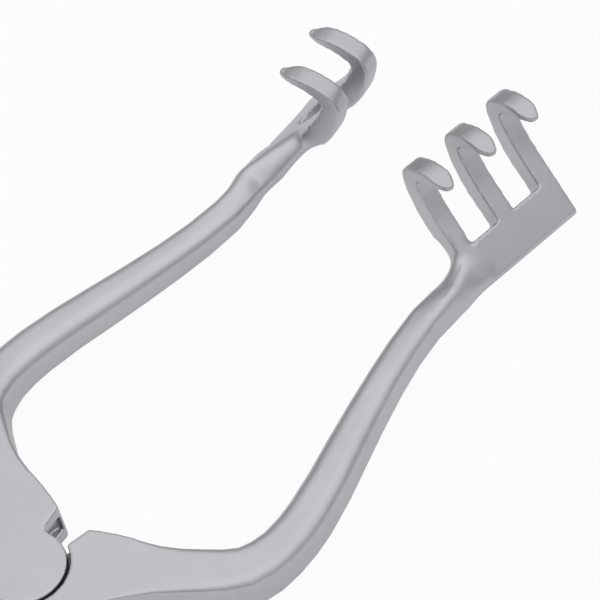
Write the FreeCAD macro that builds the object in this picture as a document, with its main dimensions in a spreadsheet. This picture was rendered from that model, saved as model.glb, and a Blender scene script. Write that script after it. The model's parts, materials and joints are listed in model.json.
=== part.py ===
import FreeCAD, Part
import math
import os
import Sketcher

# Self-retaining retractor, two prongs against three, in millimetres.
# +Z is the side the prongs stand up on, and the underside of the joint lies at z = 0.
# The joint's axis is Z through the origin, +Y runs from the finger rings to the prongs.
# The levers stand as far open as in the photograph, each about 9 degrees from closed.

os.makedirs("parts", exist_ok=True)
doc = FreeCAD.newDocument("self_retaining_retractor")
sheet = doc.addObject("Spreadsheet::Sheet", "Sizes")

SIZES = (
    # The box joint
    ("plate_thick", 4.2, "whole joint, through the cheeks"),
    ("lug_radius", 3.55, "round end of each cheek"),
    ("shoulder_gap", 0.25, "between a cheek's round end and the shoulder that faces it"),
    ("tongue_thick", 1.8, "middle leaf of the joint"),
    ("tongue_play", 0.05, "each side of the middle leaf"),
    ("pin_radius", 1.1, "joint pin, ground flush on both sides"),
    ("pin_play", 0.03, "radial, pin to middle leaf"),
    ("stop_length", 2.2, "reach of a stop face outside the shoulder"),
    ("stop_angle_male", 69.8, "outer corner of the stop face of the tongue's lever, degrees from +X"),
    ("stop_angle_female", 104.2, "outer corner of the notch face of the cheeks' lever, degrees from +X"),
    ("heel_angle", 12.0, "inner face behind the joint, degrees from -Y"),
    ("heel_length", 2.2, "length of that face outside the shoulder"),
    ("stop_turn", 4.0, "foot of each of these faces, turned on from its corner, degrees"),
    ("notch_relief", 1.4, "how far the slot runs on behind the notch face"),
    ("notch_round", 0.4, "rounding where the notch face meets the cheek's round end"),
    # The blades
    ("prong_wide", 1.82, "along the row"),
    ("prong_pitch", 5.0, "along the row"),
    ("row_x", 11.88, "reference line of the blade at the row's far end"),
    ("row_y", 55.1, "the same, along +Y"),
    ("row_angle", 8.15, "row turned outward from +Y, degrees"),
    ("short_row_start", 2.35, "two-prong row starts this much nearer to the joint"),
    ("hook_end", -0.45, "end of the three prongs' hooks, outward of the reference line"),
    ("short_hook_more", 0.6, "how much further out the two prongs' hooks reach"),
    ("tip_half", 0.2, "half the width that a hook keeps at its very end"),
    ("taper_start", 2.7, "where a prong's hook starts to narrow, inward of the reference line"),
    # The finger rings
    ("ring_reach", 73.6, "joint axis to the ring's centre"),
    ("ring_long", 11.9, "ring's half length to the middle of its bow, along the shank"),
    ("ring_wide", 10.9, "the same, across the shank"),
    ("bow_wide", 3.6, "ring's oval bow, in the plane of the ring"),
    ("bow_high", 3.4, "the same, along Z"),
    ("ring_end_share", 0.93, "radius of the ring's two tighter arcs, as a share of its half width"),
    ("shank_angle", 18.0, "shank's axis from -Y, degrees"),
    # The ratchet
    ("rack_radius", 44.0, "middle of the toothed bar, from the joint's axis"),
    ("rack_wide", 3.4, "toothed bar, radially"),
    ("rack_thick", 1.5, "toothed bar, along Z"),
    ("rack_play", 0.12, "bar to its window, on every side"),
    ("rack_end", 47.5, "free end of the bar, degrees from -Y"),
    ("tooth_step", 1.5, "degrees"),
    ("tooth_deep", 0.5, "depth of a tooth"),
    ("first_tooth", 11, "steps from the rest place towards the fixed end"),
    ("last_tooth", 12, "steps from the rest place towards the free end"),
    ("rivet_radius", 0.7, "fixes the bar in its shank"),
    ("stop_pin_at", 41.8, "cross pin that stops the bar in its window, degrees from -Y"),
    ("stop_pin_radius", 0.6, "cross pin near the bar's free end"),
    ("stop_pin_long", 3.4, "along Z"),
    # The release lever, in the shank's own axes: along it from the joint, and outward
    ("pivot_along", 3.2, "pivot behind the toothed edge"),
    ("pivot_out", -0.3, "pivot from the shank's axis"),
    ("pivot_radius", 0.75, "pivot screw's shaft"),
    ("pivot_head_radius", 1.25, "pivot screw's head"),
    ("pivot_head_high", 0.6, "head, sunk flush"),
    ("lever_thick", 1.4, "along Z"),
    ("lever_play", 0.1, "above and below the lever"),
    ("nose_out", 5.8, "nose from the shank's axis"),
    ("nose_lift", 0.08, "nose above the teeth at rest"),
    ("pad_high", 4.2, "thumb pad, along Z"),
    ("boss_radius", 1.5, "lever's boss about its pivot"),
    ("nose_flat", 0.15, "blunt tip of the nose"),
    ("nose_drop", 4.5, "lever's turn from rest down into the teeth, degrees"),
    ("tooth_clear", 0.3, "dropped nose to the steep face it holds against"),
    ("tooth_floor", 0.5, "flat floor of a tooth's gap, as a share of the step"),
    ("tooth_run", 0.875, "floor and slope together, as a share of the step"),
    ("thread_play", 0.02, "radial, screw or rivet in its hole"),
    ("leaf_seat_out", 2.35, "spring's flat seat from the shank's axis"),
    ("leaf_screw_deep", 1.9, "spring screw's depth in the shank"),
    ("leaf_thick", 0.4, "return spring"),
    ("leaf_high", 2.4, "return spring, along Z"),
    ("leaf_screw_along", 8.7, "spring's screw behind the pivot"),
    ("leaf_screw_radius", 0.6, "spring screw's shaft"),
    ("leaf_head_radius", 1.1, "spring screw's head"),
    ("leaf_head_high", 0.7, "spring screw's head"),
)
for row, (alias, value, note) in enumerate(SIZES, start=1):
    sheet.set("A%d" % row, alias)
    sheet.set("B%d" % row, str(value))
    sheet.set("C%d" % row, note)
    sheet.setAlias("B%d" % row, alias)

# Stations of the bowed arm from the flat plate to the bar under the prongs, for the lever on the +X side:
# middle x and y, width across, height, corner radius, height of the middle, and lean inward in degrees.
ARM_COLUMNS = ("x", "y", "wide", "high", "corner", "middle", "lean")
ARM_STATIONS = (
    (7.35, 4.75, 5.6, 4.2, 0.2, 2.1, 0.0),
    (9.3, 5.95, 4.5, 4.2, 0.3, 2.1, 0.0),
    (12.2, 7.92, 4.15, 4.19, 0.6, 2.1, 0.0),
    (14.85, 10.35, 4.1, 4.1, 1.0, 2.1, 0.0),
    (15.72, 13.6, 3.85, 3.95, 1.2, 2.12, 0.0),
    (15.5, 17.4, 3.8, 3.85, 1.3, 2.12, 0.0),
    (13.95, 24.0, 3.5, 3.65, 1.25, 2.08, 0.0),
    (12.14, 31.5, 3.05, 3.35, 1.15, 1.98, 0.0),
    (11.18, 38.2, 2.87, 3.05, 1.0, 1.94, 8.0),
)
# The same where the arm turns into the leaning bar, its place given outward of the row's line and
# from the bar's start, and its end inside the blade, which counts from the row's far end.
NECK_STATIONS = (
    (1.29, -2.1, 2.65, 2.98, 0.7, 1.92, 30.0),
    (0.71, 0.0, 2.04, 2.96, 0.5, 1.68, 42.5),
)
BAR_INSIDE = (0.59, -0.5, 1.98, 2.7, 0.4, 1.76, 42.5)
# Stations of the shank: along its axis from the joint, outward, width, height, corner radius.
# The last ones count from the ring's near side.
SHANK_COLUMNS = ("along", "out", "wide", "high", "corner")
SHANK_STATIONS = (
    (6.2, 1.9, 5.2, 4.2, 0.3),
    (18.5, 1.8, 4.7, 4.18, 0.9),
    (31.0, 1.2, 4.7, 4.16, 1.0),
    (40.0, 0.0, 6.2, 4.13, 0.8),
    (52.5, 0.0, 6.2, 4.13, 0.8),
)
RING_STATIONS = (
    (-4.7, 0.0, 4.9, 4.0, 1.1),
    (0.1, 0.0, 3.9, 3.6, 1.6),
)
TABLES = (
    (ARM_STATIONS, ARM_COLUMNS, "arm"),
    (NECK_STATIONS + (BAR_INSIDE,), ARM_COLUMNS, "neck"),
    (SHANK_STATIONS, SHANK_COLUMNS, "shank"),
    (RING_STATIONS, SHANK_COLUMNS, "end"),
)
for table, columns, root in TABLES:
    for number, station in enumerate(table, start=1):
        for column, value in zip(columns, station):
            row += 1
            alias = "%s_%s_%d" % (root, column, number)
            sheet.set("A%d" % row, alias)
            sheet.set("B%d" % row, str(value))
            sheet.set("C%d" % row, "%s station %d" % (root, number))
            sheet.setAlias("B%d" % row, alias)
doc.recompute()


def size(alias):
    """A size from the sheet."""
    return float(sheet.get(alias))


def stations(root, count, columns):
    """Rows of a table of stations, as the sheet holds them."""
    return [[size("%s_%s_%d" % (root, column, number)) for column in columns] for number in range(1, count + 1)]


MID_HIGH = size("plate_thick") / 2
SHOULDER = size("lug_radius") + size("shoulder_gap")
RING_NEAR = size("ring_reach") - size("ring_long")
V = FreeCAD.Vector


def plane_of(body, role):
    return [f for f in body.Origin.OriginFeatures if f.Role == role][0]


def placed(at, across, up):
    """A placement whose X runs along across and whose Y runs along up."""
    across = V(*across).normalize()
    up = V(*up).normalize()
    return FreeCAD.Placement(V(*at), FreeCAD.Rotation(across, up, across.cross(up), "XYZ"))


def new_sketch(body, name, offset):
    sketch = body.newObject("Sketcher::SketchObject", name)
    sketch.AttachmentSupport = [(plane_of(body, "XY_Plane"), "")]
    sketch.MapMode = "FlatFace"
    sketch.AttachmentOffset = offset
    return sketch


def draw(sketch, steps):
    """Draws a closed outline. Each step is the next corner, or a point on an arc and the arc's end."""
    start = V(steps[0][0], steps[0][1], 0)
    here = start
    pieces = []
    for step in steps[1:]:
        if len(step) == 2:
            there = V(step[0], step[1], 0)
            pieces.append(Part.LineSegment(here, there))
        else:
            there = V(step[2], step[3], 0)
            pieces.append(Part.Arc(here, V(step[0], step[1], 0), there))
        here = there
    if (here - start).Length > 1e-7:
        pieces.append(Part.LineSegment(here, start))
    for index in sketch.addGeometry(pieces, False):
        sketch.addConstraint(Sketcher.Constraint("Block", index))
    return sketch


def draw_circle(sketch, x, y, radius_name):
    """A circle whose radius is bound to a size."""
    sketch.addGeometry(Part.Circle(V(x, y, 0), V(0, 0, 1), size(radius_name)), False)
    sketch.addConstraint(Sketcher.Constraint("DistanceX", -1, 1, 0, 3, x))
    sketch.addConstraint(Sketcher.Constraint("DistanceY", -1, 1, 0, 3, y))
    sketch.addConstraint(Sketcher.Constraint("Radius", 0, size(radius_name)))
    sketch.setExpression("Constraints[2]", "Sizes.%s" % radius_name)
    return sketch


def draw_section(sketch, wide, high, corner, names=None):
    """A rounded rectangle about the sketch's origin; names are the sizes it is bound to."""
    a = wide / 2
    b = high / 2
    r = min(corner, 0.98 * a, 0.98 * b)
    quarter = math.pi / 2
    edges = []
    corners = ((a - r, -b + r, -quarter), (a - r, b - r, 0), (-a + r, b - r, quarter), (-a + r, -b + r, 2 * quarter))
    lines = (((-a + r, -b), (a - r, -b)), ((a, -b + r), (a, b - r)), ((a - r, b), (-a + r, b)), ((-a, b - r), (-a, -b + r)))
    for (x, y, turn), (p, q) in zip(corners, lines):
        edges.append(Part.LineSegment(V(p[0], p[1], 0), V(q[0], q[1], 0)))
        edges.append(Part.ArcOfCircle(Part.Circle(V(x, y, 0), V(0, 0, 1), r), turn, turn + quarter))
    sketch.addGeometry(edges, False)
    for index in range(8):
        sketch.addConstraint(Sketcher.Constraint("Tangent", index, 2, (index + 1) % 8, 1))
    for index in (0, 4):
        sketch.addConstraint(Sketcher.Constraint("Horizontal", index))
    for index in (2, 6):
        sketch.addConstraint(Sketcher.Constraint("Vertical", index))
    for index in (3, 5):
        sketch.addConstraint(Sketcher.Constraint("Equal", 1, index))
    sketch.addConstraint(Sketcher.Constraint("Symmetric", 0, 1, 4, 1, -1, 1))
    for kind, first, second, value, name in (
        ("DistanceX", (6, 1), (2, 1), wide, "wide"),
        ("DistanceY", (0, 1), (4, 1), high, "high"),
    ):
        index = sketch.addConstraint(Sketcher.Constraint(kind, first[0], first[1], second[0], second[1], value))
        if names:
            sketch.setExpression("Constraints[%d]" % index, "Sizes.%s" % names[name])
    index = sketch.addConstraint(Sketcher.Constraint("Radius", 1, r))
    if names:
        limit = "min(Sizes.%s; 0.49 * Sizes.%s; 0.49 * Sizes.%s)" % (names["corner"], names["wide"], names["high"])
        sketch.setExpression("Constraints[%d]" % index, limit)
    return sketch


def pad(body, sketch, length, midplane=False, backwards=False):
    """A pad whose length is an expression."""
    feature = body.newObject("PartDesign::Pad", sketch.Name + "_pad")
    feature.Profile = sketch
    feature.Midplane = midplane
    feature.Reversed = backwards
    feature.setExpression("Length", length)
    return feature


def pocket(body, sketch, length, midplane=False, backwards=False):
    """A pocket whose depth is an expression, checked to take material away."""
    before = body.Shape.Volume
    feature = body.newObject("PartDesign::Pocket", sketch.Name + "_pocket")
    feature.Profile = sketch
    feature.Midplane = midplane
    feature.Reversed = backwards
    feature.setExpression("Length", length)
    doc.recompute()
    if not body.Shape.Volume < before - 1e-6:
        raise RuntimeError("%s cuts nothing" % feature.Name)
    return feature


def polar(radius, degrees):
    return (radius * math.cos(math.radians(degrees)), radius * math.sin(math.radians(degrees)))


def shank_point(along, out):
    """Plan place of a point given along the +X lever's shank and outward from it."""
    a = math.radians(size("shank_angle"))
    return (along * math.sin(a) + out * math.cos(a), -along * math.cos(a) + out * math.sin(a))


def flipped(point, side):
    return (side * point[0], point[1])


def row_point(outward, along, side):
    """Plan place of a point given outward of the blade's reference line and along its row."""
    a = math.radians(size("row_angle"))
    x = size("row_x") + along * math.sin(a) + outward * math.cos(a)
    y = size("row_y") + along * math.cos(a) - outward * math.sin(a)
    return (side * x, y)


def tangents(points):
    """Direction of the path at each of its points, along the chord of its neighbours."""
    result = []
    for index in range(len(points)):
        before = points[max(index - 1, 0)]
        after = points[min(index + 1, len(points) - 1)]
        length = math.hypot(after[0] - before[0], after[1] - before[1])
        result.append(((after[0] - before[0]) / length, (after[1] - before[1]) / length))
    return result


def smooth_between(rows, steps):
    """Rows of numbers with further rows between them, each column along a cubic through its stations.

    The slope at a station is the mean of its two spans' slopes, the nearer one counting for more.
    """
    spans = [math.hypot(q[0] - p[0], q[1] - p[1]) for p, q in zip(rows, rows[1:])]
    rises = [[(b - a) / span for a, b in zip(p, q)] for p, q, span in zip(rows, rows[1:], spans)]
    slopes = [rises[0]]
    for left, right, before, after in zip(rises, rises[1:], spans, spans[1:]):
        slopes.append([(a * after + b * before) / (before + after) for a, b in zip(left, right)])
    slopes.append(rises[-1])
    result = []
    for index, span in enumerate(spans):
        for step in range(steps):
            share = step / steps
            left = 1 - share
            result.append([
                p * (1 + 2 * share) * left ** 2 + q * (1 + 2 * left) * share ** 2
                + span * share * left * (m * left - n * share)
                for p, q, m, n in zip(rows[index], rows[index + 1], slopes[index], slopes[index + 1])
            ])
    result.append(list(rows[-1]))
    return result


def bulged(start, end, rise):
    """Middle of an arc between two points, raised to the left of the way from one to the other."""
    dx = end[0] - start[0]
    dy = end[1] - start[1]
    length = math.hypot(dx, dy)
    return ((start[0] + end[0]) / 2 - rise * dy / length, (start[1] + end[1]) / 2 + rise * dx / length)


# Blade's section, drawn outward of its reference line and up from the underside.
# The bar and the prongs are one plate leaning inward, which curls over outward at the top.
BAR_BACK = (0.45, 0.3)
BAR_FRONT = (2.39, 1.4)
SLOT_ROOT_FRONT = (-0.12, 4.25)
SLOT_ROOT_BACK = (-1.45, 2.3)
ABOVE_BLADE = 16.0
BELOW_HOOK = 9.3
ARM_STEPS = 2


def blade_outline(hook_end):
    """The section's outline, for hooks that reach out to hook_end."""
    return (
        BAR_BACK,
        (-2.9, 3.9),
        (-5.2, 7.2, -6.05, 10.0),
        (-5.72, 11.3, -4.5, 12.2),
        (-2.6, 12.72, hook_end - 0.5, 12.33),
        (hook_end, 12.05, hook_end - 0.35, 11.72),
        (-2.4, 11.66, -3.75, 11.0),
        (-4.15, 10.72, -4.28, 10.3),
        (-3.18, 8.06, -1.7, 6.05),
        BAR_FRONT,
        (2.05, 0.62, 1.4, 0.3),
    )


def bar_start():
    """Where the bar under the prongs begins, along the row, on both levers: the near side of the longer row."""
    return -2 * size("prong_pitch") - size("prong_wide") / 2


def arm_path(row_start):
    """Rows of the arm's sections from the plate into the blade, and the way they face."""
    rows = stations("arm", len(ARM_STATIONS), ARM_COLUMNS)
    neck = stations("neck", len(NECK_STATIONS) + 1, ARM_COLUMNS)
    starts = [bar_start()] * len(NECK_STATIONS) + [row_start + size("prong_wide") / 2]
    for (outward, along, *rest), start in zip(neck, starts):
        rows.append(list(row_point(outward, start + along, 1)) + rest)
    path = smooth_between(rows[:-1], ARM_STEPS) + rows[-1:]
    return path, tangents([row[:2] for row in path])


def stop_face(angle):
    """Foot and outer corner of a stop face, for a lever on the +X side."""
    return polar(SHOULDER, angle - size("stop_turn")), polar(SHOULDER + size("stop_length"), angle)


def add_plate(body, side, stop_angle, path, directions):
    """The flat middle of a lever, with its round leaf about the pin."""
    lug = size("lug_radius")
    foot, corner = stop_face(stop_angle)
    heel = polar(SHOULDER, size("heel_angle") - 90)
    heel_end = polar(SHOULDER + size("heel_length"), size("heel_angle") - 90)
    x, y, wide = path[0][:3]
    dx, dy = directions[0]
    inner = (x - dy * wide / 2, y + dx * wide / 2)
    outer = (x + dy * wide / 2, y - dx * wide / 2)
    along, out, wide = [size("shank_%s_1" % column) for column in ("along", "out", "wide")]
    shank_outer = shank_point(along, out + wide / 2)
    shank_inner = shank_point(along, out - wide / 2)
    lug_heel = polar(lug, size("heel_angle") - 90)
    if side > 0:
        lug_foot = polar(lug, stop_angle - size("stop_turn"))
        around = [(-lug, 0) + lug_foot, foot]
        face = foot
    else:
        rise = size("notch_round") / size("stop_length")
        face = tuple(f + rise * (c - f) for f, c in zip(foot, corner))
        lug_foot = polar(lug, stop_angle + math.degrees(size("notch_round") / lug))
        bend = tuple(0.25 * p + 0.5 * q + 0.25 * r for p, q, r in zip(lug_foot, foot, face))
        around = [(-lug, 0) + lug_foot, bend + face]
    steps = [face, corner, bulged(corner, inner, 0.1) + inner, outer, bulged(outer, shank_outer, -0.9) + shank_outer]
    steps += [shank_inner, heel_end, heel, lug_heel] + around
    mirrored = [tuple(side * value if place % 2 == 0 else value for place, value in enumerate(step)) for step in steps]
    sketch = new_sketch(body, body.Label + "_plate", FreeCAD.Placement())
    draw(sketch, mirrored)
    return pad(body, sketch, "Sizes.plate_thick")


def add_loft(body, name, sections):
    """Straight spans through sections: place, across and up directions, wide, high, corner, size names."""
    sketches = []
    for number, (at, across, up, wide, high, corner, names) in enumerate(sections, start=1):
        sketch = new_sketch(body, "%s_%s_%d" % (body.Label, name, number), placed(at, across, up))
        draw_section(sketch, wide, high, corner, names)
        sketches.append(sketch)
    doc.recompute()
    loft = body.newObject("PartDesign::AdditiveLoft", "%s_%s" % (body.Label, name))
    loft.Profile = sketches[0]
    loft.Sections = sketches[1:]
    loft.Ruled = True
    return loft


def section_names(root, number):
    return {name: "%s_%s_%d" % (root, name, number) for name in ("wide", "high", "corner")}


def add_arm(body, side, path, directions):
    """The bowed arm, from the plate's flat section through a rounded one to the bar inside the blade."""
    sections = []
    for number, ((x, y, wide, high, corner, middle, lean), (dx, dy)) in enumerate(zip(path, directions)):
        station = number // ARM_STEPS + 1
        bound = number % ARM_STEPS == 0 and station <= len(ARM_STATIONS)
        flat = math.cos(math.radians(lean))
        tip = math.sin(math.radians(lean))
        across = (-dy * flat * side, dx * flat, -tip)
        up = (-dy * tip * side, dx * tip, flat)
        names = section_names("arm", station) if bound else None
        sections.append(((side * x, y, middle), across, up, wide, high, corner, names))
    return add_loft(body, "arm", sections)


def add_shank(body, side):
    """The shank behind the joint, widened where the ratchet crosses it, and its end in the ring's bow."""
    rows = stations("shank", len(SHANK_STATIONS), SHANK_COLUMNS)
    count = len(rows)
    for along, *rest in stations("end", len(RING_STATIONS), SHANK_COLUMNS):
        rows.append([RING_NEAR + along] + rest)
    points = [shank_point(along, out) for along, out, *rest in rows]
    sections = []
    for number, ((x, y), (dx, dy), row) in enumerate(zip(points, tangents(points), rows), start=1):
        names = section_names("shank", number) if number <= count else section_names("end", number - count)
        sections.append(((side * x, y, MID_HIGH), (-dy * side, dx, 0), (0, 0, 1), row[2], row[3], row[4], names))
    return add_loft(body, "shank", sections)


def add_ring(body, side):
    """The oval finger ring: an oval bow along four tangent arcs, tighter at the two ends."""
    a = math.radians(size("shank_angle"))
    centre = flipped(shank_point(size("ring_reach"), 0), side)
    along = (math.sin(a) * side, -math.cos(a), 0)
    across = (math.cos(a), math.sin(a) * side, 0)
    longer = size("ring_long")
    shorter = size("ring_wide")
    if longer < shorter:
        longer, shorter = shorter, longer
        along, across = across, along
    end_radius = size("ring_end_share") * shorter
    end_centre = longer - end_radius
    less = shorter - end_radius
    side_centre = (end_centre ** 2 - less ** 2) / (2 * less)
    turn = math.atan2(side_centre, end_centre)
    join = (end_centre + end_radius * math.cos(turn), end_radius * math.sin(turn))
    path = new_sketch(body, body.Label + "_ring_path", placed((centre[0], centre[1], MID_HIGH), along, across))
    draw(path, [
        join,
        (0, shorter, -join[0], join[1]),
        (-longer, 0, -join[0], -join[1]),
        (0, -shorter, join[0], -join[1]),
        (longer, 0, join[0], join[1]),
    ])
    at = (centre[0] + join[0] * along[0] + join[1] * across[0], centre[1] + join[0] * along[1] + join[1] * across[1])
    outward = (math.cos(turn) * along[0] + math.sin(turn) * across[0], math.cos(turn) * along[1] + math.sin(turn) * across[1], 0)
    upward = (0, 0, 1)
    wide = size("bow_wide") / 2
    high = size("bow_high") / 2
    axes = (outward, upward) if wide >= high else (upward, outward)
    bow = new_sketch(body, body.Label + "_ring_bow", placed((at[0], at[1], MID_HIGH), axes[0], axes[1]))
    bow.addGeometry(Part.Ellipse(V(0, 0, 0), max(wide, high), min(wide, high)), False)
    bow.addConstraint(Sketcher.Constraint("Block", 0))
    doc.recompute()
    before = body.Shape.Volume
    pipe = body.newObject("PartDesign::AdditivePipe", body.Label + "_ring")
    pipe.Profile = bow
    pipe.Spine = (path, ["Edge1", "Edge2", "Edge3", "Edge4"])
    doc.recompute()
    whole = math.pi * wide * high * path.Shape.Length
    if not 0.85 * whole < body.Shape.Volume - before < 1.01 * whole:
        raise RuntimeError("the ring is not the size of its bow")
    return pipe


def add_blade(body, side, prongs, row_start, hook_end):
    """The blade: one curled plate along the row, cut into prongs whose hooks narrow to blunt round ends."""
    row_turn = math.radians(size("row_angle"))
    outward = (math.cos(row_turn) * side, -math.sin(row_turn), 0)
    half = size("prong_wide") / 2
    top = row_point(0, row_start + half, side)
    sketch = new_sketch(body, body.Label + "_blade", placed((top[0], top[1], 0), outward, (0, 0, 1)))
    draw(sketch, blade_outline(hook_end))
    forward = placed((0, 0, 0), outward, (0, 0, 1)).Rotation.multVec(V(0, 0, 1)).y > 0
    pad(body, sketch, "%d * Sizes.prong_pitch + Sizes.prong_wide" % (prongs - 1), backwards=forward)
    doc.recompute()
    lean = (SLOT_ROOT_FRONT[0] - SLOT_ROOT_BACK[0], SLOT_ROOT_FRONT[1] - SLOT_ROOT_BACK[1])
    beyond = 3.0
    before_root = (SLOT_ROOT_FRONT[0] + beyond * lean[0], SLOT_ROOT_FRONT[1] + beyond * lean[1])
    behind_root = (SLOT_ROOT_BACK[0] - beyond * lean[0], SLOT_ROOT_BACK[1] - beyond * lean[1])
    slot_outline = [before_root, behind_root, (behind_root[0] - beyond, ABOVE_BLADE), (before_root[0], ABOVE_BLADE)]
    for gap in range(prongs - 1):
        edge = row_point(0, row_start - half - gap * size("prong_pitch"), side)
        slot = new_sketch(body, "%s_slot_%d" % (body.Label, gap + 1), placed((edge[0], edge[1], 0), outward, (0, 0, 1)))
        draw(slot, slot_outline)
        pocket(body, slot, "Sizes.prong_pitch - Sizes.prong_wide", backwards=not forward)
    start = -size("taper_start")
    beside = half + 0.2
    past = hook_end + 0.5
    for prong in range(prongs):
        middle = row_point(0, row_start - prong * size("prong_pitch"), side)
        for hand in (1, -1):
            taper = new_sketch(
                body,
                "%s_taper_%d_%s" % (body.Label, prong + 1, "a" if hand > 0 else "b"),
                placed((middle[0], middle[1], ABOVE_BLADE), outward, (-outward[1], outward[0], 0)),
            )
            curve_end = (hook_end, hand * size("tip_half"))
            curve_middle = ((start + hook_end) / 2 + 0.35, hand * (half + size("tip_half") + 0.38) / 2)
            draw(taper, [
                (start, hand * half),
                curve_middle + curve_end,
                (past, hand * size("tip_half")),
                (past, hand * beside),
                (start, hand * beside),
            ])
            pocket(body, taper, "%g" % (ABOVE_BLADE - BELOW_HOOK))


def make_lever(label, side, stop_angle, prongs, row_start, hook_end):
    """One lever's forging: plate, arm, shank, ring and blade."""
    body = doc.addObject("PartDesign::Body", label)
    body.Label = label
    path, directions = arm_path(row_start)
    add_plate(body, side, stop_angle, path, directions)
    doc.recompute()
    add_arm(body, side, path, directions)
    add_shank(body, side)
    doc.recompute()
    add_ring(body, side)
    add_blade(body, side, prongs, row_start, hook_end)
    doc.recompute()
    return body


def bore(body, name, at, radius_name, play_name, depth):
    """A round hole along Z from the underside, its radius bound to a shaft and its play."""
    sketch = new_sketch(body, name, FreeCAD.Placement())
    radius = size(radius_name) + (size(play_name) if play_name else 0)
    sketch.addGeometry(Part.Circle(V(at[0], at[1], 0), V(0, 0, 1), radius), False)
    sketch.addConstraint(Sketcher.Constraint("DistanceX", -1, 1, 0, 3, at[0]))
    sketch.addConstraint(Sketcher.Constraint("DistanceY", -1, 1, 0, 3, at[1]))
    index = sketch.addConstraint(Sketcher.Constraint("Radius", 0, radius))
    sketch.setExpression("Constraints[%d]" % index, "Sizes.%s" % radius_name + (" + Sizes.%s" % play_name if play_name else ""))
    doc.recompute()
    return pocket(body, sketch, depth, backwards=True)


def level(high):
    """A level sketch plane at a height above the underside."""
    return FreeCAD.Placement(V(0, 0, high), FreeCAD.Rotation())


def turned_outline(points, side=1):
    """Outline steps given along and out of the +X lever's shank, in plan."""
    result = []
    for step in points:
        flat = []
        for place in range(0, len(step), 2):
            x, y = shank_point(step[place], step[place + 1])
            flat += [side * x, y]
        result.append(tuple(flat))
    return result


def rack_point(radius, degrees):
    """A point on an arc about the joint, its angle counted from -Y towards +X."""
    return polar(radius, degrees - 90)


def cut_joint_slot(body):
    """The slot between the two cheeks, run on behind the notch face."""
    slot = new_sketch(body, "box_slot", level(MID_HIGH))
    slot.addGeometry(Part.Circle(V(0, 0, 0), V(0, 0, 1), SHOULDER), False)
    slot.addConstraint(Sketcher.Constraint("Coincident", 0, 3, -1, 1))
    slot.addConstraint(Sketcher.Constraint("Radius", 0, SHOULDER))
    slot.setExpression("Constraints[1]", "Sizes.lug_radius + Sizes.shoulder_gap")
    pocket(body, slot, "Sizes.tongue_thick + 2 * Sizes.tongue_play", midplane=True)
    foot, corner = stop_face(180 - size("stop_angle_female"))
    length = math.hypot(corner[0] - foot[0], corner[1] - foot[1])
    up = ((corner[0] - foot[0]) / length, (corner[1] - foot[1]) / length)
    relief = size("notch_relief")
    run = new_sketch(body, "notch_run", level(MID_HIGH))
    draw(run, [
        (-(foot[0] + ahead * up[0] + deep * up[1]), foot[1] + ahead * up[1] - deep * up[0])
        for ahead, deep in ((-0.4, -0.5), (length - 0.2, -0.5), (length - 0.2, 0.45 * relief), (-0.4, relief))
    ])
    pocket(body, run, "Sizes.tongue_thick + 2 * Sizes.tongue_play", midplane=True)
    bore(body, "cheek_bore", (0, 0), "pin_radius", None, "Sizes.plate_thick")


def cut_tongue(body):
    """Thins the round leaf from both sides, so that the cheeks close over it."""
    for name, high, backwards in (("upper_recess", size("plate_thick"), False), ("lower_recess", 0.0, True)):
        recess = new_sketch(body, name, level(high))
        recess.addGeometry(Part.Circle(V(0, 0, 0), V(0, 0, 1), SHOULDER), False)
        recess.addConstraint(Sketcher.Constraint("Coincident", 0, 3, -1, 1))
        recess.addConstraint(Sketcher.Constraint("Radius", 0, SHOULDER))
        recess.setExpression("Constraints[1]", "Sizes.lug_radius + Sizes.shoulder_gap")
        pocket(body, recess, "(Sizes.plate_thick - Sizes.tongue_thick) / 2", backwards=backwards)
    bore(body, "leaf_bore", (0, 0), "pin_radius", "pin_play", "Sizes.plate_thick")


RACK_INNER = size("rack_radius") - size("rack_wide") / 2
RACK_OUTER = size("rack_radius") + size("rack_wide") / 2
RACK_START = -size("shank_angle") - 1.8
RIVET_AT = -size("shank_angle") + 0.6
PIVOT_ALONG = RACK_OUTER + size("pivot_along")
SCREW_ALONG = PIVOT_ALONG + size("leaf_screw_along")
LEAF_FLAT = 4.7
LEAF_BEND = 2.5


def rack_band(inner, outer, first, last):
    """Outline of a band about the joint between two radii and two angles."""
    middle = (first + last) / 2
    return [
        rack_point(inner, first),
        rack_point(inner, middle) + rack_point(inner, last),
        rack_point(outer, last),
        rack_point(outer, middle) + rack_point(outer, first),
    ]


def cut_rack_seat(body):
    """Blind slot that holds the fixed end of the bar, and the rivet's hole across it."""
    seat = new_sketch(body, "rack_seat", level(MID_HIGH))
    draw(seat, rack_band(RACK_INNER, RACK_OUTER, RACK_START, -size("shank_angle") + 6))
    pocket(body, seat, "Sizes.rack_thick", midplane=True)
    bore(body, "rivet_hole", rack_point(size("rack_radius"), RIVET_AT), "rivet_radius", "thread_play", "Sizes.plate_thick")


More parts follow.
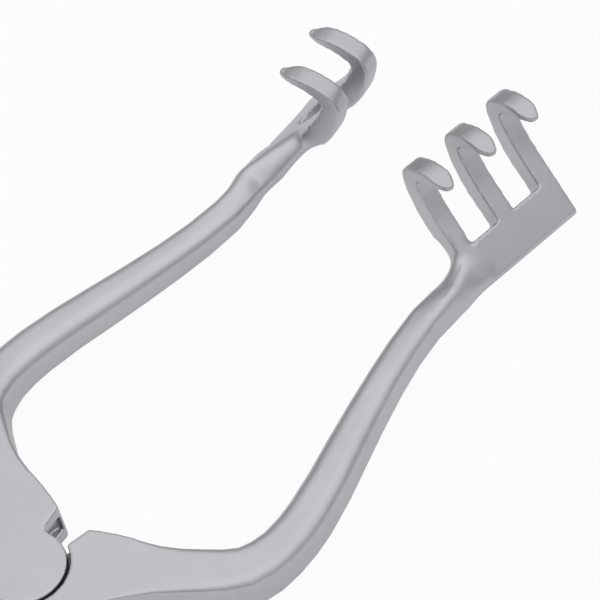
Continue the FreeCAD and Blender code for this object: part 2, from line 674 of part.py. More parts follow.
def cut_ratchet_window(body):
    """Window for the bar, slot for the lever, its pivot's holes, and the spring's flat seat and hole."""
    play = size("rack_play")
    across = size("shank_angle")
    window = new_sketch(body, "rack_window", level(MID_HIGH))
    draw(window, rack_band(RACK_INNER - play, RACK_OUTER + play, across - 6, across + 6))
    pocket(body, window, "Sizes.rack_thick + 2 * Sizes.rack_play", midplane=True)
    deep = size("pivot_out") - size("boss_radius") - 0.25
    back = PIVOT_ALONG + size("boss_radius") + 1.6
    slot = new_sketch(body, "lever_slot", level(MID_HIGH))
    draw(slot, turned_outline([
        (RACK_OUTER - 0.8, deep),
        (back - 1.2, deep),
        (back - 0.35, deep + 0.35, back, deep + 1.2),
        (back, 4.5),
        (RACK_OUTER - 0.8, 4.5),
    ]))
    pocket(body, slot, "Sizes.lever_thick + 2 * Sizes.lever_play", midplane=True)
    pivot = shank_point(PIVOT_ALONG, size("pivot_out"))
    bore(body, "pivot_hole", pivot, "pivot_radius", "thread_play", "Sizes.plate_thick")
    sink = new_sketch(body, "pivot_head_seat", level(size("plate_thick")))
    sink.addGeometry(Part.Circle(V(pivot[0], pivot[1], 0), V(0, 0, 1), size("pivot_head_radius") + size("thread_play")), False)
    sink.addConstraint(Sketcher.Constraint("Block", 0))
    pocket(body, sink, "Sizes.pivot_head_high")
    flat = new_sketch(body, "spring_flat", level(0))
    screw = SCREW_ALONG
    seat = size("leaf_seat_out")
    draw(flat, turned_outline([(screw - LEAF_FLAT, seat), (screw + 1.7, seat), (screw + 1.7, seat + 2), (screw - LEAF_FLAT, seat + 2)]))
    pocket(body, flat, "Sizes.plate_thick", backwards=True)
    a = math.radians(across)
    at = shank_point(screw, seat + 1)
    hole = new_sketch(body, "spring_screw_hole", placed((at[0], at[1], MID_HIGH), (math.sin(a), -math.cos(a), 0), (0, 0, 1)))
    draw_circle(hole, 0, 0, "leaf_screw_radius")
    deep = placed((0, 0, 0), (math.sin(a), -math.cos(a), 0), (0, 0, 1)).Rotation.multVec(V(0, 0, 1))
    outward = deep.x > 0
    pocket(body, hole, "1 + Sizes.leaf_screw_deep", backwards=not outward)


def turned_pin(label, at, steps):
    """A pin or screw revolved about a vertical axis; steps are radius and height corners."""
    body = doc.addObject("PartDesign::Body", label)
    body.Label = label
    sketch = body.newObject("Sketcher::SketchObject", label + "_profile")
    sketch.AttachmentSupport = [(plane_of(body, "XZ_Plane"), "")]
    sketch.MapMode = "FlatFace"
    draw(sketch, steps)
    turn = body.newObject("PartDesign::Revolution", label + "_turn")
    turn.Profile = sketch
    turn.ReferenceAxis = (sketch, ["V_Axis"])
    turn.Angle = 360
    body.Placement = at
    doc.recompute()
    return body


def make_joint_pin():
    radius = size("pin_radius")
    high = size("plate_thick")
    return turned_pin("joint_pin", FreeCAD.Placement(), [(0, 0), (radius, 0), (radius, high), (0, high)])


def make_rack_rivet():
    radius = size("rivet_radius")
    high = size("plate_thick")
    x, y = rack_point(size("rack_radius"), RIVET_AT)
    return turned_pin("rack_rivet", FreeCAD.Placement(V(x, y, 0), FreeCAD.Rotation()), [(0, 0), (radius, 0), (radius, high), (0, high)])


def make_stop_pin():
    radius = size("stop_pin_radius")
    half = size("stop_pin_long") / 2
    broken = 0.2
    x, y = rack_point(size("rack_radius"), size("stop_pin_at"))
    steps = [(0, -half), (radius - broken, -half), (radius, broken - half), (radius, half - broken), (radius - broken, half), (0, half)]
    return turned_pin("rack_stop_pin", FreeCAD.Placement(V(x, y, MID_HIGH), FreeCAD.Rotation()), steps)


def cut_driver_slot(body, name, head_radius, top, wide, deep):
    """Straight screwdriver slot across the top of a turned screw."""
    sketch = new_sketch(body, name, level(top))
    reach = head_radius + 0.5
    draw(sketch, [(-reach, -wide / 2), (reach, -wide / 2), (reach, wide / 2), (-reach, wide / 2)])
    return pocket(body, sketch, "%g" % deep)


def make_pivot_screw():
    shaft = size("pivot_radius")
    head = size("pivot_head_radius")
    top = size("plate_thick")
    neck = top - size("pivot_head_high")
    x, y = shank_point(PIVOT_ALONG, size("pivot_out"))
    at = FreeCAD.Placement(V(x, y, 0), FreeCAD.Rotation(V(0, 0, 1), 35))
    body = turned_pin("lever_pivot_screw", at, [(0, 0), (shaft, 0), (shaft, neck), (head, neck), (head, top), (0, top)])
    cut_driver_slot(body, "pivot_driver_slot", head, top, 0.4, 0.35)
    return body


def make_spring_screw():
    shaft = size("leaf_screw_radius")
    head = size("leaf_head_radius")
    under = size("leaf_thick")
    deep = size("leaf_screw_deep")
    high = size("leaf_head_high")
    a = math.radians(size("shank_angle"))
    x, y = shank_point(SCREW_ALONG, size("leaf_seat_out"))
    turn = FreeCAD.Rotation(V(0, 0, 1), V(math.cos(a), math.sin(a), 0))
    steps = [(0, -deep + 0.1), (shaft, -deep + 0.1), (shaft, under), (head, under), (head, under + high - 0.2), (head - 0.25, under + high), (0, under + high)]
    body = turned_pin("spring_screw", FreeCAD.Placement(V(x, y, MID_HIGH), turn), steps)
    cut_driver_slot(body, "spring_driver_slot", head, under + high, 0.35, 0.3)
    return body


def nose_tip():
    """The lever's nose at rest, along and out of the shank, just clear of the teeth."""
    out = size("nose_out")
    return (math.sqrt((RACK_OUTER + size("nose_lift")) ** 2 - out ** 2), out)


def tooth_faces():
    """Angles of the steep faces, set by where the nose drops in when it turns by nose_drop."""
    along, out = nose_tip()
    out += size("nose_flat")
    swing = math.radians(size("nose_drop"))
    reach = (along - PIVOT_ALONG, out - size("pivot_out"))
    dropped = (
        PIVOT_ALONG + reach[0] * math.cos(swing) - reach[1] * math.sin(swing),
        size("pivot_out") + reach[0] * math.sin(swing) + reach[1] * math.cos(swing),
    )
    nose = size("shank_angle") + math.degrees(math.atan2(dropped[1], dropped[0]))
    home = nose + math.degrees(size("tooth_clear") / RACK_OUTER)
    step = size("tooth_step")
    return [home + count * step for count in range(-int(size("first_tooth")), int(size("last_tooth")) + 1)]


def make_ratchet_bar():
    """Curved flat bar about the joint, saw teeth along its outer edge and a rounded free end."""
    body = doc.addObject("PartDesign::Body", "ratchet_bar")
    body.Label = "ratchet_bar"
    end = size("rack_end")
    root = RACK_OUTER - size("tooth_deep")
    step = size("tooth_step")
    faces = tooth_faces()
    middle = (RACK_START + end) / 2
    half_wide = math.degrees(size("rack_wide") / 2 / size("rack_radius"))
    steps = [rack_point(RACK_INNER, RACK_START)]
    steps.append(rack_point(RACK_INNER, middle) + rack_point(RACK_INNER, end - half_wide))
    steps.append(rack_point(size("rack_radius"), end) + rack_point(RACK_OUTER, end - half_wide))
    last = faces[-1]
    steps.append(rack_point(RACK_OUTER, (end - half_wide + last) / 2) + rack_point(RACK_OUTER, last))
    for face in reversed(faces):
        steps.append(rack_point(root, face))
        steps.append(rack_point(root, face - size("tooth_floor") * step))
        steps.append(rack_point(RACK_OUTER, face - size("tooth_run") * step))
        if face is not faces[0]:
            steps.append(rack_point(RACK_OUTER, face - step))
    here = faces[0] - size("tooth_run") * step
    steps.append(rack_point(RACK_OUTER, (here + RACK_START) / 2) + rack_point(RACK_OUTER, RACK_START))
    sketch = new_sketch(body, "rack_outline", level(MID_HIGH))
    draw(sketch, steps)
    pad(body, sketch, "Sizes.rack_thick", midplane=True)
    doc.recompute()
    bore(body, "rack_rivet_hole", rack_point(size("rack_radius"), RIVET_AT), "rivet_radius", "thread_play", "Sizes.plate_thick")
    bore(body, "rack_stop_hole", rack_point(size("rack_radius"), size("stop_pin_at")), "stop_pin_radius", "thread_play", "Sizes.plate_thick")
    return body


def make_release_lever():
    """Flat lever: round boss on its pivot, a nose towards the teeth and a ridged pad for the thumb."""
    body = doc.addObject("PartDesign::Body", "release_lever")
    body.Label = "release_lever"
    pu = PIVOT_ALONG
    pv = size("pivot_out")
    boss = size("boss_radius")
    tip, out = nose_tip()
    flat = size("nose_flat")
    steps = [
        (pu - boss, pv),
        (pu - boss * 0.75, pv + 1.7, RACK_OUTER + 1.0, out - 2.1),
        (RACK_OUTER + 0.75, out - 0.95),
        (tip, out),
        (tip, out + flat),
        (tip + 0.95, out + flat + 0.12),
        (tip + 1.7, out + 1.6, tip + 4.3, out + 3.2),
        (pu + 5.2, pv + 10.9),
        (pu + 6.3, pv + 10.9, pu + 6.1, pv + 9.9),
        (tip + 6.0, out + 2.3),
        (tip + 4.5, out + 0.6, pu + 1.25, pv + 4.2),
        (pu + boss * 0.92, pv + 1.6, pu + boss, pv),
        (pu, pv - boss, pu - boss, pv),
    ]
    sketch = new_sketch(body, "lever_outline", level(MID_HIGH))
    draw(sketch, turned_outline(steps))
    pad(body, sketch, "Sizes.lever_thick", midplane=True)
    doc.recompute()
    grip = new_sketch(body, "lever_pad", level(MID_HIGH))
    draw(grip, turned_outline([
        (tip + 4.3, out + 3.2),
        (pu + 5.2, pv + 10.9),
        (pu + 6.3, pv + 10.9, pu + 6.1, pv + 9.9),
        (tip + 6.0, out + 2.3),
    ]))
    pad(body, grip, "Sizes.pad_high", midplane=True)
    doc.recompute()
    start = (tip + 4.3, out + 3.2)
    stop = (pu + 5.2, pv + 10.9)
    ridges = 5
    for number in range(1, ridges):
        share = number / ridges
        at = (start[0] + share * (stop[0] - start[0]), start[1] + share * (stop[1] - start[1]))
        groove = new_sketch(body, "pad_groove_%d" % number, level(MID_HIGH))
        half = 0.16
        deep = 0.18
        run = math.hypot(stop[0] - start[0], stop[1] - start[1])
        du = (stop[0] - start[0]) / run
        dv = (stop[1] - start[1]) / run
        draw(groove, turned_outline([
            (at[0] - half * du - 0.05 * dv, at[1] - half * dv + 0.05 * du),
            (at[0] + half * du - 0.05 * dv, at[1] + half * dv + 0.05 * du),
            (at[0] + deep * dv, at[1] - deep * du),
        ]))
        pocket(body, groove, "Sizes.pad_high + 1", midplane=True)
    bore(body, "lever_bore", shank_point(pu, pv), "pivot_radius", "pin_play", "Sizes.plate_thick")
    return body


def make_return_spring():
    """Leaf bent out from its seat on the shank to the back of the lever."""
    body = doc.addObject("PartDesign::Body", "return_spring")
    body.Label = "return_spring"
    seat = size("leaf_seat_out")
    thick = size("leaf_thick")
    screw = SCREW_ALONG
    bend = screw - LEAF_BEND
    end = (PIVOT_ALONG + 1.55, size("pivot_out") + 4.75)
    steps = [
        (screw + 1.3, seat),
        (screw + 1.3, seat + thick),
        (bend + 0.1, seat + thick),
        ((bend + end[0]) / 2 + 0.2, seat + 1.55, end[0] - 0.1, end[1] + 0.2),
        (end[0] - 0.25, end[1] - 0.1),
        ((bend + end[0]) / 2, seat + 1.18, bend, seat),
    ]
    sketch = new_sketch(body, "leaf_outline", level(MID_HIGH))
    draw(sketch, turned_outline(steps))
    pad(body, sketch, "Sizes.leaf_high", midplane=True)
    doc.recompute()
    a = math.radians(size("shank_angle"))
    at = shank_point(screw, seat + 1)
    hole = new_sketch(body, "leaf_hole", placed((at[0], at[1], MID_HIGH), (math.sin(a), -math.cos(a), 0), (0, 0, 1)))
    hole.addGeometry(Part.Circle(V(0, 0, 0), V(0, 0, 1), size("leaf_screw_radius") + size("thread_play")), False)
    hole.addConstraint(Sketcher.Constraint("Block", 0))
    pocket(body, hole, "4", midplane=True)
    return body


def check(objects):
    """Stops if anything in the document failed."""
    for thing in doc.Objects:
        if "Invalid" in thing.State or "Error" in thing.State:
            raise RuntimeError("%s failed" % thing.Name)
    for thing in objects:
        if thing.Shape.isNull() or not thing.Shape.isValid() or not thing.Shape.Solids:
            raise RuntimeError("%s has no valid solid" % thing.Label)


three_prong_arm = make_lever("three_prong_arm", 1, size("stop_angle_male"), 3, 0.0, size("hook_end"))
cut_tongue(three_prong_arm)
cut_ratchet_window(three_prong_arm)
short_end = size("hook_end") + size("short_hook_more")
two_prong_arm = make_lever("two_prong_arm", -1, 180 - size("stop_angle_female"), 2, -size("short_row_start"), short_end)
cut_joint_slot(two_prong_arm)
cut_rack_seat(two_prong_arm)
NODES = [
    three_prong_arm,
    two_prong_arm,
    make_joint_pin(),
    make_ratchet_bar(),
    make_rack_rivet(),
    make_stop_pin(),
    make_release_lever(),
    make_pivot_screw(),
    make_return_spring(),
    make_spring_screw(),
]
doc.recompute()
for node in NODES:
    print(node.Label, node.Shape.isValid(), len(node.Shape.Solids), round(node.Shape.Volume, 2), node.Shape.BoundBox)
check(NODES)
for node in NODES:
    node.Shape.exportStep("parts/%s.step" % node.Label)
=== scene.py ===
import json
import math
import bpy
import numpy as np
from mathutils import Matrix, Vector


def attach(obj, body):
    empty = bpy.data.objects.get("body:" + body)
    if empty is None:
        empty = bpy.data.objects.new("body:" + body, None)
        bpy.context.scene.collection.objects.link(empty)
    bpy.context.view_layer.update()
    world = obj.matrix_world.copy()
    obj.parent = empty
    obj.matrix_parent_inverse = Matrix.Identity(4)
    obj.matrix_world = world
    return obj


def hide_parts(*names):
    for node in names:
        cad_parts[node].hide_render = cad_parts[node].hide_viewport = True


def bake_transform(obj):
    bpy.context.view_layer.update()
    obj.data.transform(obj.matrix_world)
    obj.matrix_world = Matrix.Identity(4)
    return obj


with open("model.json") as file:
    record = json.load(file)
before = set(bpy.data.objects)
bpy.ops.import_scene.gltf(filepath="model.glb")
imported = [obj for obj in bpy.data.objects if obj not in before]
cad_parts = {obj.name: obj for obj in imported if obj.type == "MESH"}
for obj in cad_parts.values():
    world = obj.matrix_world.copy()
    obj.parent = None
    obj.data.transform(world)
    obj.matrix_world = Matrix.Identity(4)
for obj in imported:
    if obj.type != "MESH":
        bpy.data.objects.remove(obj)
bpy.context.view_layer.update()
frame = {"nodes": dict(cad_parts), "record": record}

# Self-retaining retractor: satin-ground forged steel, seen from above its box joint. Lengths are in
# metres, except where a comment says millimetres.
MM_IN_METRE = 1000

# The forgings' skins: the cast's cells, the share of the way to its neighbours that a point goes in a
# round, the rounds that take off ripples and the share that it then goes back, the rounds of tumbling,
# and how many triangles are kept.
CELL = 0.00012
EVENING_WAY = 0.5
RIPPLE_ROUNDS = 6
RIPPLE_WAY_BACK = 0.53
TUMBLING_ROUNDS = 7
MOST_TRIANGLES = 185000
# Edges that turn by more than this many degrees stay crisp.
CRISP_ANGLE = 28

# The row of prongs in plan: degrees outward from +Y, and its far end in millimetres.
ROW_ANGLE = 8.15
ROW_END = (11.88, 55.1)
# Rings for each row of a neck's table, corners of each ring, and the power of its rounded section.
NECK_RINGS = 6
NECK_CORNERS = 48
NECK_POWER = 3
# Each forging, with the side it is on:
#   neck      its sections, in millimetres and degrees: along the row of prongs, outward of it, the
#             middle's height, half thickness, half length, and lean inward
#   flows     where it flows together, at the arm and at the first prong: radius, middle, rounds
#   set_over  how far it is set over outward, about which place and how widely
FORGINGS = {
    "two_prong_arm": {
        "side": -1,
        "neck": (
            (-15.9, 1.47, 1.93, 1.36, 1.46, 12.0),
            (-14.6, 1.46, 1.97, 1.52, 1.56, 20.0),
            (-13.0, 1.50, 1.97, 1.58, 1.56, 30.0),
            (-10.9, 0.76, 2.09, 1.52, 2.00, 42.9),
            (-9.6, 0.45, 2.22, 1.40, 2.36, 42.9),
            (-8.9, 0.18, 2.32, 1.24, 2.62, 42.9),
            (-7.8, 0.10, 2.28, 1.00, 2.60, 42.9),
            (-7.0, 0.44, 1.93, 1.00, 2.05, 42.9),
            (-5.0, 0.50, 1.71, 0.95, 1.70, 42.9),
        ),
        "flows": (
            (0.0026, (-0.01126, 0.0407, 0.0022), 90),
            (0.0036, (-0.0104, 0.0463, 0.0042), 170),
        ),
        "set_over": (0.00070, (-0.01165, 0.04620, 0.0019), 0.0029),
    },
    "three_prong_arm": {
        "side": 1,
        "neck": (
            (-15.9, 1.47, 1.93, 1.36, 1.46, 12.0),
            (-13.0, 1.33, 1.93, 1.40, 1.50, 30.0),
            (-10.9, 0.69, 1.96, 1.24, 1.90, 42.9),
            (-8.7, 0.58, 1.86, 1.08, 1.85, 42.9),
            (-6.0, 0.50, 1.72, 0.92, 1.60, 42.9),
        ),
        "flows": (
            (0.0026, (0.01126, 0.0407, 0.0022), 90),
            (0.0030, (0.0098, 0.0440, 0.0030), 150),
        ),
    },
}

# The joint pin's profile from its upper to its lower face, in millimetres: radius and height.
PIN_PROFILE = ((1.62, 4.203), (1.62, 4.15), (1.1, 3.75), (1.1, 0.45), (1.62, 0.05), (1.62, -0.003))
PIN_CORNERS = 96

# The steel's noises: features per metre, detail and roughness of each, and the limits between which
# nearly all their values lie.
CLOUD = (160.0, 3.0, 0.5)
PATCH = (1300.0, 3.0, 0.5)
GRAIN = (7000.0, 2.0, 0.6)
USUAL = (0.3, 0.7)
# The noises' shares of the tone, the patches' share of the relief, the relief's strength, and how many
# rays find a broken edge.
CLOUD_IN_TONE = 0.65
PATCH_IN_TONE = 0.35
PATCH_IN_RELIEF = 0.5
RELIEF_STRENGTH = 0.15
EDGE_RAYS = 6
# Each finish: material, dark and light tone, lowest and highest roughness, how widely its edges are
# broken, and the grain's depth.
FINISHES = {
    "forged": ("satin_forged_steel", (0.575, 0.575, 0.60), (0.625, 0.625, 0.65), 0.31, 0.35, 0.0, 0.00002),
    "flush": ("flush_pin_steel", (0.585, 0.585, 0.61), (0.625, 0.625, 0.65), 0.31, 0.35, 0.0, 0.00002),
    "ground": ("ground_bar_steel", (0.60, 0.60, 0.62), (0.66, 0.66, 0.68), 0.24, 0.34, 0.0001, 0.00001),
    "screw": ("polished_screw_steel", (0.64, 0.64, 0.65), (0.70, 0.70, 0.71), 0.18, 0.24, 0.00008, 0.00001),
    "leaf": ("spring_leaf_steel", (0.44, 0.44, 0.46), (0.50, 0.50, 0.52), 0.22, 0.30, 0.00006, 0.00001),
}
# The curled prongs are darker in their base colour above a height: from which height, wholly from
# which, and in which tone.
CURLED = {"forged": (0.007, 0.011, (0.55, 0.55, 0.565))}
WEARS = {
    "two_prong_arm": "forged",
    "three_prong_arm": "forged",
    "joint_pin": "flush",
    "rack_rivet": "flush",
    "ratchet_bar": "ground",
    "release_lever": "ground",
    "rack_stop_pin": "screw",
    "lever_pivot_screw": "screw",
    "spring_screw": "screw",
    "return_spring": "leaf",
}

# The white paper: half its width, its height, its tone and roughness where light falls on it, the
# share of plain white that the camera sees in it, and how much of that share the steel sees.
PAPER_HALF = 3.0
PAPER_HIGH = -0.0001
PAPER_TONE = (0.78, 0.78, 0.78, 1.0)
PAPER_ROUGH = 0.9
PAPER_WHITE = 0.94
PAPER_WHITE_IN_STEEL = 0.35
# The soft box: its place, what it faces, its width and its power in watts.
BOX_AT = (0.05, 0.25, 0.9)
BOX_AIM = (0.0, 0.02, 0.0)
BOX_WIDE = 1.6
BOX_POWER = 1.2
# The studio's tones at the horizon and at the ceiling, and the part of a direction's Z over which the
# one goes over to the other. Towards +X the walls are lighter: over which part of its X, and by how
# much of the way to the ceiling's tone.
HORIZON = (0.28, 0.28, 0.29)
CEILING = (0.82, 0.82, 0.84)
WALL_RISE = (-0.1, 0.95)
LIGHTER_WALL = (0.3, 1.0)
LIGHTER_WALL_SHARE = 0.2
WHITE = (1, 1, 1, 1)

# The photographer's camera, from the outlines of the two blades and arms, in millimetres.
CAMERA_AT = (117.12, -62.65, 189.99)
CAMERA_RIGHT = (0.76759, 0.62492, -0.14240)
CAMERA_DOWN = (0.42667, -0.66401, -0.61405)
CAMERA_FORWARD = (-0.47828, 0.41058, -0.77632)
SENSOR_WIDE = 36.0
# Shares of the picture's width: the focal length, and how far the middle lies off the camera's axis.
FOCAL_SHARE = 4.6791
CENTRE_RIGHT = 25.6 / 600
CENTRE_UP = 14.12 / 600
# The nearest and the furthest that the camera sees.
CLIP_NEAR = 0.01
CLIP_FAR = 20.0


def socket(node, name, value):
    """Sets a number or colour on a shader node's own input."""
    node.inputs[name].default_value = value


def new_material(name):
    """An empty node material: returns the material, its tree and its principled shader."""
    material = bpy.data.materials.new(name)
    material.use_nodes = True
    tree = material.node_tree
    return material, tree, tree.nodes["Principled BSDF"]


def noise(tree, places, scale, detail, rough):
    """Noise over the object's own coordinates, scale in features per metre."""
    field = tree.nodes.new("ShaderNodeTexNoise")
    socket(field, "Scale", scale)
    socket(field, "Detail", detail)
    socket(field, "Roughness", rough)
    tree.links.new(places, field.inputs["Vector"])
    return field.outputs["Fac"]


def spread(tree, value, low, high, to_low, to_high):
    """Maps a value from one range onto another, smoothly and clamped."""
    node = tree.nodes.new("ShaderNodeMapRange")
    node.interpolation_type = "SMOOTHSTEP"
    ends = (("From Min", low), ("From Max", high), ("To Min", to_low), ("To Max", to_high))
    for name, number in ends:
        socket(node, name, number)
    tree.links.new(value, node.inputs["Value"])
    return node.outputs["Result"]


def calculate(tree, operation, first, second):
    """One arithmetic step on two values or numbers."""
    node = tree.nodes.new("ShaderNodeMath")
    node.operation = operation
    for place, value in enumerate((first, second)):
        if isinstance(value, (int, float)):
            node.inputs[place].default_value = value
        else:
            tree.links.new(value, node.inputs[place])
    return node.outputs["Value"]


def split(tree, vector):
    """A vector's X, Y and Z by name."""
    parts = tree.nodes.new("ShaderNodeSeparateXYZ")
    tree.links.new(vector, parts.inputs["Vector"])
    return parts.outputs


def blend_colours(tree, share, first, second):
    """Mixes two colours by a share."""
    node = tree.nodes.new("ShaderNodeMix")
    node.data_type = "RGBA"
    colour_inputs = [place for place in node.inputs if place.type == "RGBA"]
    for place, colour in zip(colour_inputs, (first, second)):
        if isinstance(colour, tuple):
            place.default_value = colour + (1.0,)
        else:
            tree.links.new(colour, place)
    tree.links.new(share, node.inputs["Factor"])
    return [place for place in node.outputs if place.type == "RGBA"][0]


def steel(name, dark, light, rough_low, rough_high, edge_radius, grain_depth, curled):
    """Ground steel: a faint cloudy tone, fine grain, and edges broken by tumbling.

    The tone is the sum of two noises, read between its usual limits. Where edge_radius is given, the
    edges' normals are turned towards each other within that distance. Where curled is given, it is
    the heights between which the tone goes over to the curled prongs', and that tone."""
    material, tree, shader = new_material(name)
    places = tree.nodes.new("ShaderNodeTexCoord").outputs["Object"]
    cloud = noise(tree, places, *CLOUD)
    patch = noise(tree, places, *PATCH)
    grain = noise(tree, places, *GRAIN)
    large = calculate(tree, "MULTIPLY", cloud, CLOUD_IN_TONE)
    small = calculate(tree, "MULTIPLY", patch, PATCH_IN_TONE)
    tone = calculate(tree, "ADD", large, small)
    colour = blend_colours(tree, spread(tree, tone, *USUAL, 0.0, 1.0), dark, light)
    rough = spread(tree, patch, *USUAL, rough_low, rough_high)
    if curled:
        start, whole, prong_tone = curled
        share = spread(tree, split(tree, places)["Z"], start, whole, 0.0, 1.0)
        colour = blend_colours(tree, share, colour, prong_tone)
    bump = tree.nodes.new("ShaderNodeBump")
    socket(bump, "Strength", RELIEF_STRENGTH)
    socket(bump, "Distance", grain_depth)
    relief = calculate(tree, "ADD", grain, calculate(tree, "MULTIPLY", patch, PATCH_IN_RELIEF))
    tree.links.new(relief, bump.inputs["Height"])
    if edge_radius:
        edge = tree.nodes.new("ShaderNodeBevel")
        edge.samples = EDGE_RAYS
        socket(edge, "Radius", edge_radius)
        tree.links.new(edge.outputs["Normal"], bump.inputs["Normal"])
    tree.links.new(colour, shader.inputs["Base Color"])
    tree.links.new(rough, shader.inputs["Roughness"])
    tree.links.new(bump.outputs["Normal"], shader.inputs["Normal"])
    socket(shader, "Metallic", 1.0)
    return material


def welded_facets(node):
    """The node's own facets as one closed skin: corners within a micron become one point, found by
    rounding every corner to the micron and keeping each different place once."""
    source = frame["nodes"][node].data
    corners = np.empty(len(source.vertices) * 3)
    source.vertices.foreach_get("co", corners)
    corners = corners.reshape(-1, 3)
    sides = np.empty(len(source.loops), dtype=np.int64)
    source.loops.foreach_get("vertex_index", sides)
    microns = np.round(corners * 1e6).astype(np.int64)
    _, first, same = np.unique(microns, axis=0, return_index=True, return_inverse=True)
    faces = same.reshape(-1)[sides].reshape(-1, 3)
    a, b, c = faces.T
    return corners[first], faces[(a != b) & (b != c) & (c != a)]


def tube_facets(rings):
    """Triangles of a tube through equal rings of points, each joined to the next, its ends closed flat."""
    count, around = rings.shape[:2]
    here = np.arange(around)
    there = (here + 1) % around
    faces = []
    for ring in range(count - 1):
        a = ring * around
        b = a + around
        faces.append(np.stack((a + here, a + there, b + there), axis=1))
        faces.append(np.stack((a + here, b + there, b + here), axis=1))
    first = count * around
    end = (count - 1) * around
    faces.append(np.stack((np.full(around, first), there, here), axis=1))
    faces.append(np.stack((np.full(around, first + 1), end + here, end + there), axis=1))
    middles = np.stack((rings[0].mean(axis=0), rings[-1].mean(axis=0)))
    return np.concatenate((rings.reshape(-1, 3), middles)), np.concatenate(faces)


def row_directions(side):
    """Along the row of prongs to its far end, and outward of it, in plan."""
    turn = math.radians(ROW_ANGLE)
    onward = np.array((math.sin(turn) * side, math.cos(turn), 0))
    outward = np.array((math.cos(turn) * side, -math.sin(turn), 0))
    return onward, outward


def neck_web(side, neck):
    """The forging's thick neck, where the round arm flattens into the leaning bar under the prongs.

    Each row of neck gives a rounded section: its place along the row of prongs and outward of it, its
    middle's height, its half thickness and half length, and its lean inward. A section is the curve
    |t / thick| ^ NECK_POWER + |l / long| ^ NECK_POWER = 1, and the rings between the rows are on straight
    lines. The two sides mirror each other, so one side's triangles are turned over to face outward."""
    onward, outward = row_directions(side)
    upward = np.array((0, 0, 1.0))
    table = np.array(neck)
    share = np.linspace(0, len(table) - 1, NECK_RINGS * len(table))
    rows = np.stack([np.interp(share, np.arange(len(table)), column) for column in table.T], axis=1)
    around = np.linspace(0, 2 * math.pi, NECK_CORNERS, endpoint=False)
    across = np.sign(np.cos(around)) * np.abs(np.cos(around)) ** (2 / NECK_POWER)
    along = np.sign(np.sin(around)) * np.abs(np.sin(around)) ** (2 / NECK_POWER)
    lean = np.radians(rows[:, 5])[:, None]
    thick = np.cos(lean) * outward + np.sin(lean) * upward
    long = np.cos(lean) * upward - np.sin(lean) * outward
    start = np.array((ROW_END[0] * side, ROW_END[1], 0))
    middle = start + rows[:, :1] * onward + rows[:, 1:2] * outward + rows[:, 2:3] * upward
    rings = (
        middle[:, None]
        + (rows[:, 3:4] * across)[:, :, None] * thick[:, None]
        + (rows[:, 4:5] * along)[:, :, None] * long[:, None]
    )
    points, faces = tube_facets(rings / MM_IN_METRE)
    return points, faces if side < 0 else faces[:, ::-1]


def peened_pin():
    """The joint pin, its ends spread into the cheeks' countersinks and ground flush: a profile turned
    about Z, from the middle of one face over the widest place, down the cone and shaft, to the other."""
    around = np.linspace(0, 2 * math.pi, PIN_CORNERS, endpoint=False)
    upwards = reversed(PIN_PROFILE)
    rings = np.array([[(r * math.cos(a), r * math.sin(a), z) for a in around] for r, z in upwards])
    return tube_facets(rings / MM_IN_METRE)


def smooth_faces(mesh):
    """Shades every face of the mesh smooth."""
    mesh.polygons.foreach_set("use_smooth", np.ones(len(mesh.polygons), dtype=bool))


def new_mesh(name, points, faces):
    """A mesh of smooth faces with crisp edges where they turn by more than CRISP_ANGLE."""
    mesh = bpy.data.meshes.new(name)
    mesh.from_pydata(points.tolist(), [], faces.tolist())
    smooth_faces(mesh)
    mesh.set_sharp_from_angle(angle=math.radians(CRISP_ANGLE))
    mesh.update()
    return mesh


def work_out(skin):
    """Works the skin's modifiers out, and puts the plain mesh in their place."""
    bpy.context.view_layer.update()
    worked = skin.evaluated_get(bpy.context.evaluated_depsgraph_get())
    done = bpy.data.meshes.new_from_object(worked)
    skin.modifiers.clear()
    skin.data = done


def distances(places, middle):
    """How far each place is from the middle."""
    return np.linalg.norm(places - np.array(middle), axis=1)


def evened(places, pairs, share, rounds, back):
    """Moves each point towards the mean of its neighbours by EVENING_WAY times its own share, and where
    back is given, in turn away from it by back times that share. Going back a little further than it
    came takes off ripples and keeps the thickness; never going back, the points flow together."""
    count = len(places)
    both = np.concatenate((pairs, pairs[:, ::-1]))
    at, friend = both.T
    friends = np.bincount(at, minlength=count)
    for number in range(2 * rounds if back else rounds):
        sums = [np.bincount(at, places[friend, axis], count) for axis in range(3)]
        way = np.stack(sums, axis=1) / friends[:, None] - places
        step = -back if back and number % 2 else EVENING_WAY
        places = places + step * share[:, None] * way
    return places


def flowed(places, pairs, radius, middle, rounds):
    """Evens the points round the middle: a point's share is one less the square of its distance over
    the radius."""
    share = np.clip(1 - (distances(places, middle) / radius) ** 2, 0, 1)
    inside = np.nonzero(share > 0)[0]
    order = np.full(len(places), -1)
    order[inside] = np.arange(len(inside))
    own = order[pairs]
    own = own[(own >= 0).all(axis=1)]
    places[inside] = evened(places[inside], own, share[inside], rounds, 0.0)
    return places


def set_over(places, side, way, middle, width):
    """Sets the points over outward by a bell-shaped share, exp(-(distance / width)^2 / 2), of the way."""
    bell = np.exp(-0.5 * (distances(places, middle) / width) ** 2)
    return places + way * bell[:, None] * row_directions(side)[1]


